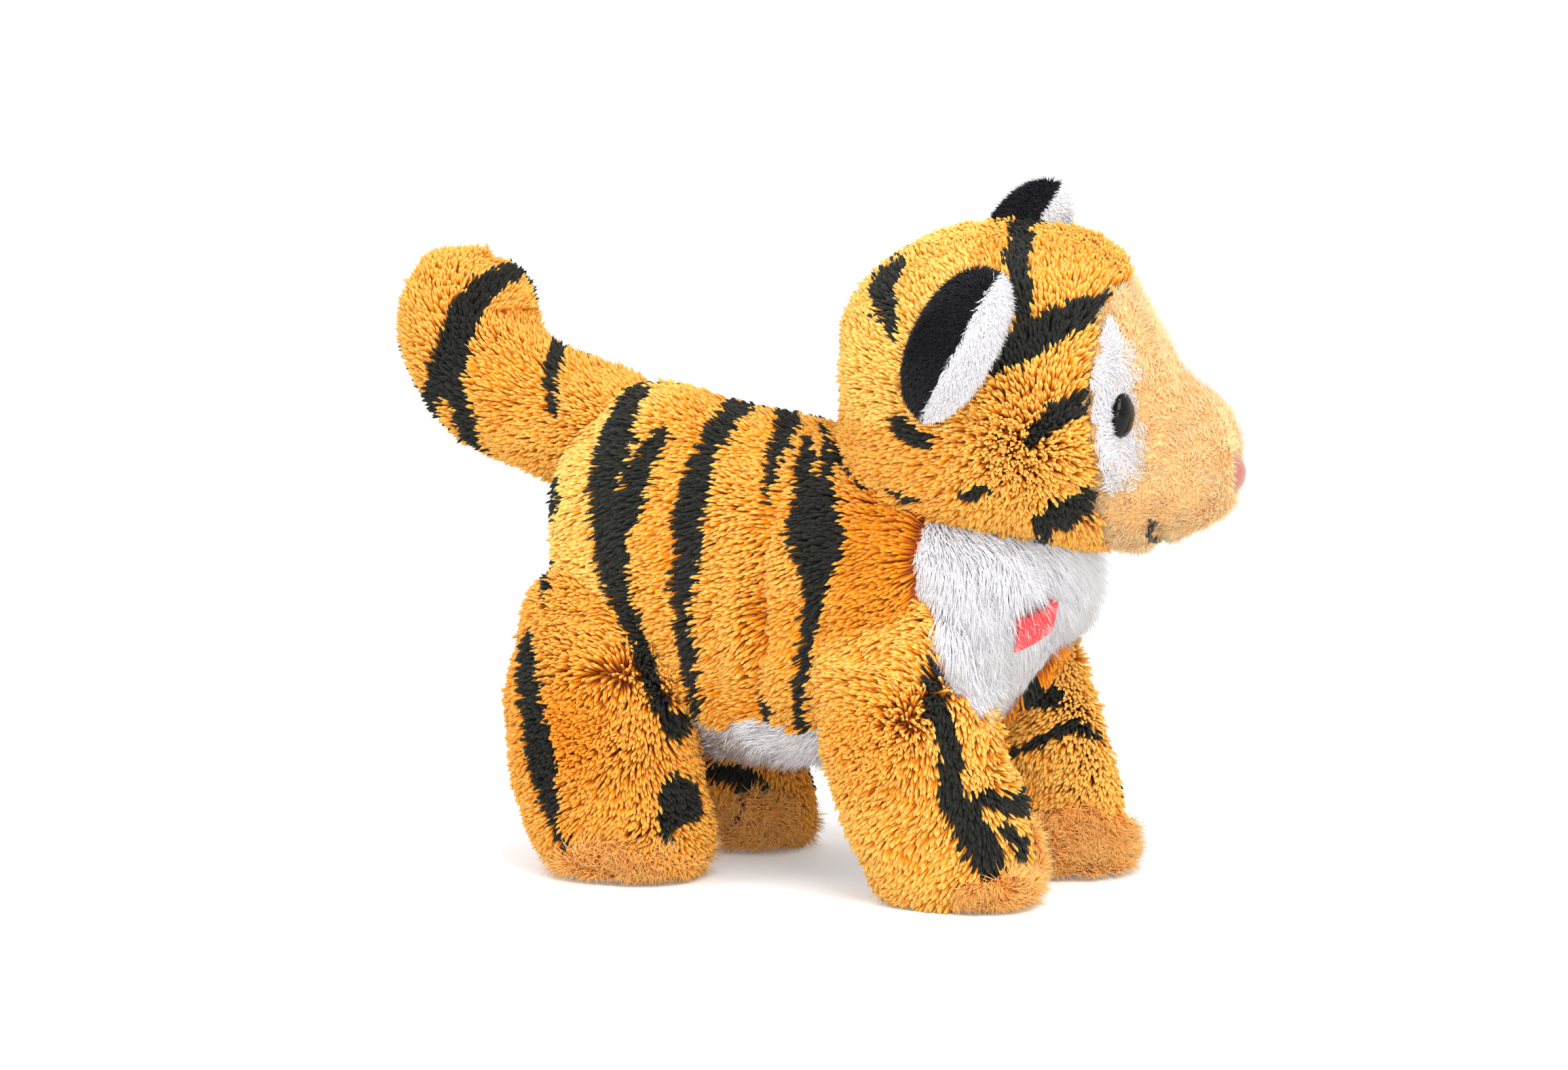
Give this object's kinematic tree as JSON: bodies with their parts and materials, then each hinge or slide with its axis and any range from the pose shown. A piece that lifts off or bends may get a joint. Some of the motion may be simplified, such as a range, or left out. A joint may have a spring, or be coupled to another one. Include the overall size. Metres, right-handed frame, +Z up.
{
  "type": "plush tiger",
  "caption": "Standing stuffed toy tiger with striped fur-fabric body, jointed soft legs, turning head, upright tail and folding ears.",
  "frame": {"origin": "bottom centre of the bounding box, on the plane that the soles stand on", "axes": "+X is the way the tiger walks, +Y is its left side, +Z up; its head is turned 16 degrees to its left at rest"},
  "size_m": [0.2576, 0.1244, 0.1886],
  "materials": {
    "gold_fur": "golden pile of fine yarn-like tufts with printed black stripes",
    "peach_fur": "short brushed peach pile",
    "white_fur": "short white pile",
    "bib_fur": "long fine white fur",
    "ear_velour": "black velour",
    "stuffing": "white polyester fibre filling",
    "red_tape": "woven red tape, bare",
    "eye_plastic": "black glossy plastic with a dark brown rim",
    "clear_plastic": "translucent moulded plastic",
    "nose_satin": "satin-faced cloth",
    "black_thread": "stitched thread"
  },
  "bodies": {
    "trunk": {"side_panel_right": "gold_fur", "side_panel_left": "gold_fur", "belly_panel": "white_fur", "chest_bib": "bib_fur", "trunk_stuffing": "stuffing", "fabric_tab": "red_tape"},
    "hind_leg_right": {"hind_leg_right_cover": "gold_fur", "hind_leg_right_stuffing": "stuffing", "hind_leg_right_sole": "peach_fur"},
    "hind_leg_left": {"hind_leg_left_cover": "gold_fur", "hind_leg_left_stuffing": "stuffing", "hind_leg_left_sole": "peach_fur"},
    "front_leg_right": {"front_leg_right_cover": "gold_fur", "front_leg_right_stuffing": "stuffing", "front_leg_right_sole": "peach_fur"},
    "front_leg_left": {"front_leg_left_cover": "gold_fur", "front_leg_left_stuffing": "stuffing", "front_leg_left_sole": "peach_fur"},
    "tail": {"tail_cover": "gold_fur", "tail_stuffing": "stuffing"},
    "neck": {"neck_stuffing": "stuffing"},
    "head": {"head_side_right": "gold_fur", "head_side_left": "gold_fur", "face_panel": "peach_fur", "head_stuffing": "stuffing", "eye_patch_right": "white_fur", "eye_patch_left": "white_fur", "safety_eye_right": "eye_plastic", "safety_eye_left": "eye_plastic", "eye_washer_right": "clear_plastic", "eye_washer_left": "clear_plastic", "nose": "nose_satin", "mouth_stitch": "black_thread"},
    "ear_right": {"ear_back_right": "ear_velour", "ear_lining_right": "white_fur"},
    "ear_left": {"ear_back_left": "ear_velour", "ear_lining_left": "white_fur"}
  },
  "joints": [
    {"name": "hind_leg_right_swing", "type": "hinge", "parent": "trunk", "child": "hind_leg_right", "pos_m": [-0.04893, -0.02619, 0.058], "axis": [0, 1, 0], "range_deg": [-12, 12], "stiffness_Nm_per_rad": 0.3},
    {"name": "hind_leg_left_swing", "type": "hinge", "parent": "trunk", "child": "hind_leg_left", "pos_m": [-0.04893, 0.03581, 0.058], "axis": [0, 1, 0], "range_deg": [-12, 12], "stiffness_Nm_per_rad": 0.3},
    {"name": "front_leg_right_swing", "type": "hinge", "parent": "trunk", "child": "front_leg_right", "pos_m": [0.04307, -0.02619, 0.062], "axis": [0, 1, 0], "range_deg": [-12, 12], "stiffness_Nm_per_rad": 0.3},
    {"name": "front_leg_left_swing", "type": "hinge", "parent": "trunk", "child": "front_leg_left", "pos_m": [0.04307, 0.03581, 0.062], "axis": [0, 1, 0], "range_deg": [-12, 12], "stiffness_Nm_per_rad": 0.3},
    {"name": "tail_swing", "type": "hinge", "parent": "trunk", "child": "tail", "pos_m": [-0.05993, 0.00481, 0.1205], "axis": [0, 0, 1], "range_deg": [-15, 15], "stiffness_Nm_per_rad": 0.06},
    {"name": "head_turn", "type": "hinge", "parent": "trunk", "child": "neck", "pos_m": [0.05807, 0.00481, 0.137], "axis": [0, 0, 1], "range_deg": [-28, 12], "stiffness_Nm_per_rad": 0.25},
    {"name": "head_nod", "type": "hinge", "parent": "neck", "child": "head", "pos_m": [0.05807, 0.00481, 0.137], "axis": [-0.2756, 0.9613, 0], "range_deg": [-8, 8], "stiffness_Nm_per_rad": 0.5},
    {"name": "ear_right_fold", "type": "hinge", "parent": "head", "child": "ear_right", "pos_m": [0.0674, -0.0423, 0.1503], "axis": [0.3643, 0.3086, 0.8787], "range_deg": [-15, 15], "stiffness_Nm_per_rad": 0.01},
    {"name": "ear_left_fold", "type": "hinge", "parent": "head", "child": "ear_left", "pos_m": [0.0494, 0.0421, 0.1686], "axis": [0.5663, -0.3959, 0.7229], "range_deg": [-15, 15], "stiffness_Nm_per_rad": 0.01}
  ]
}
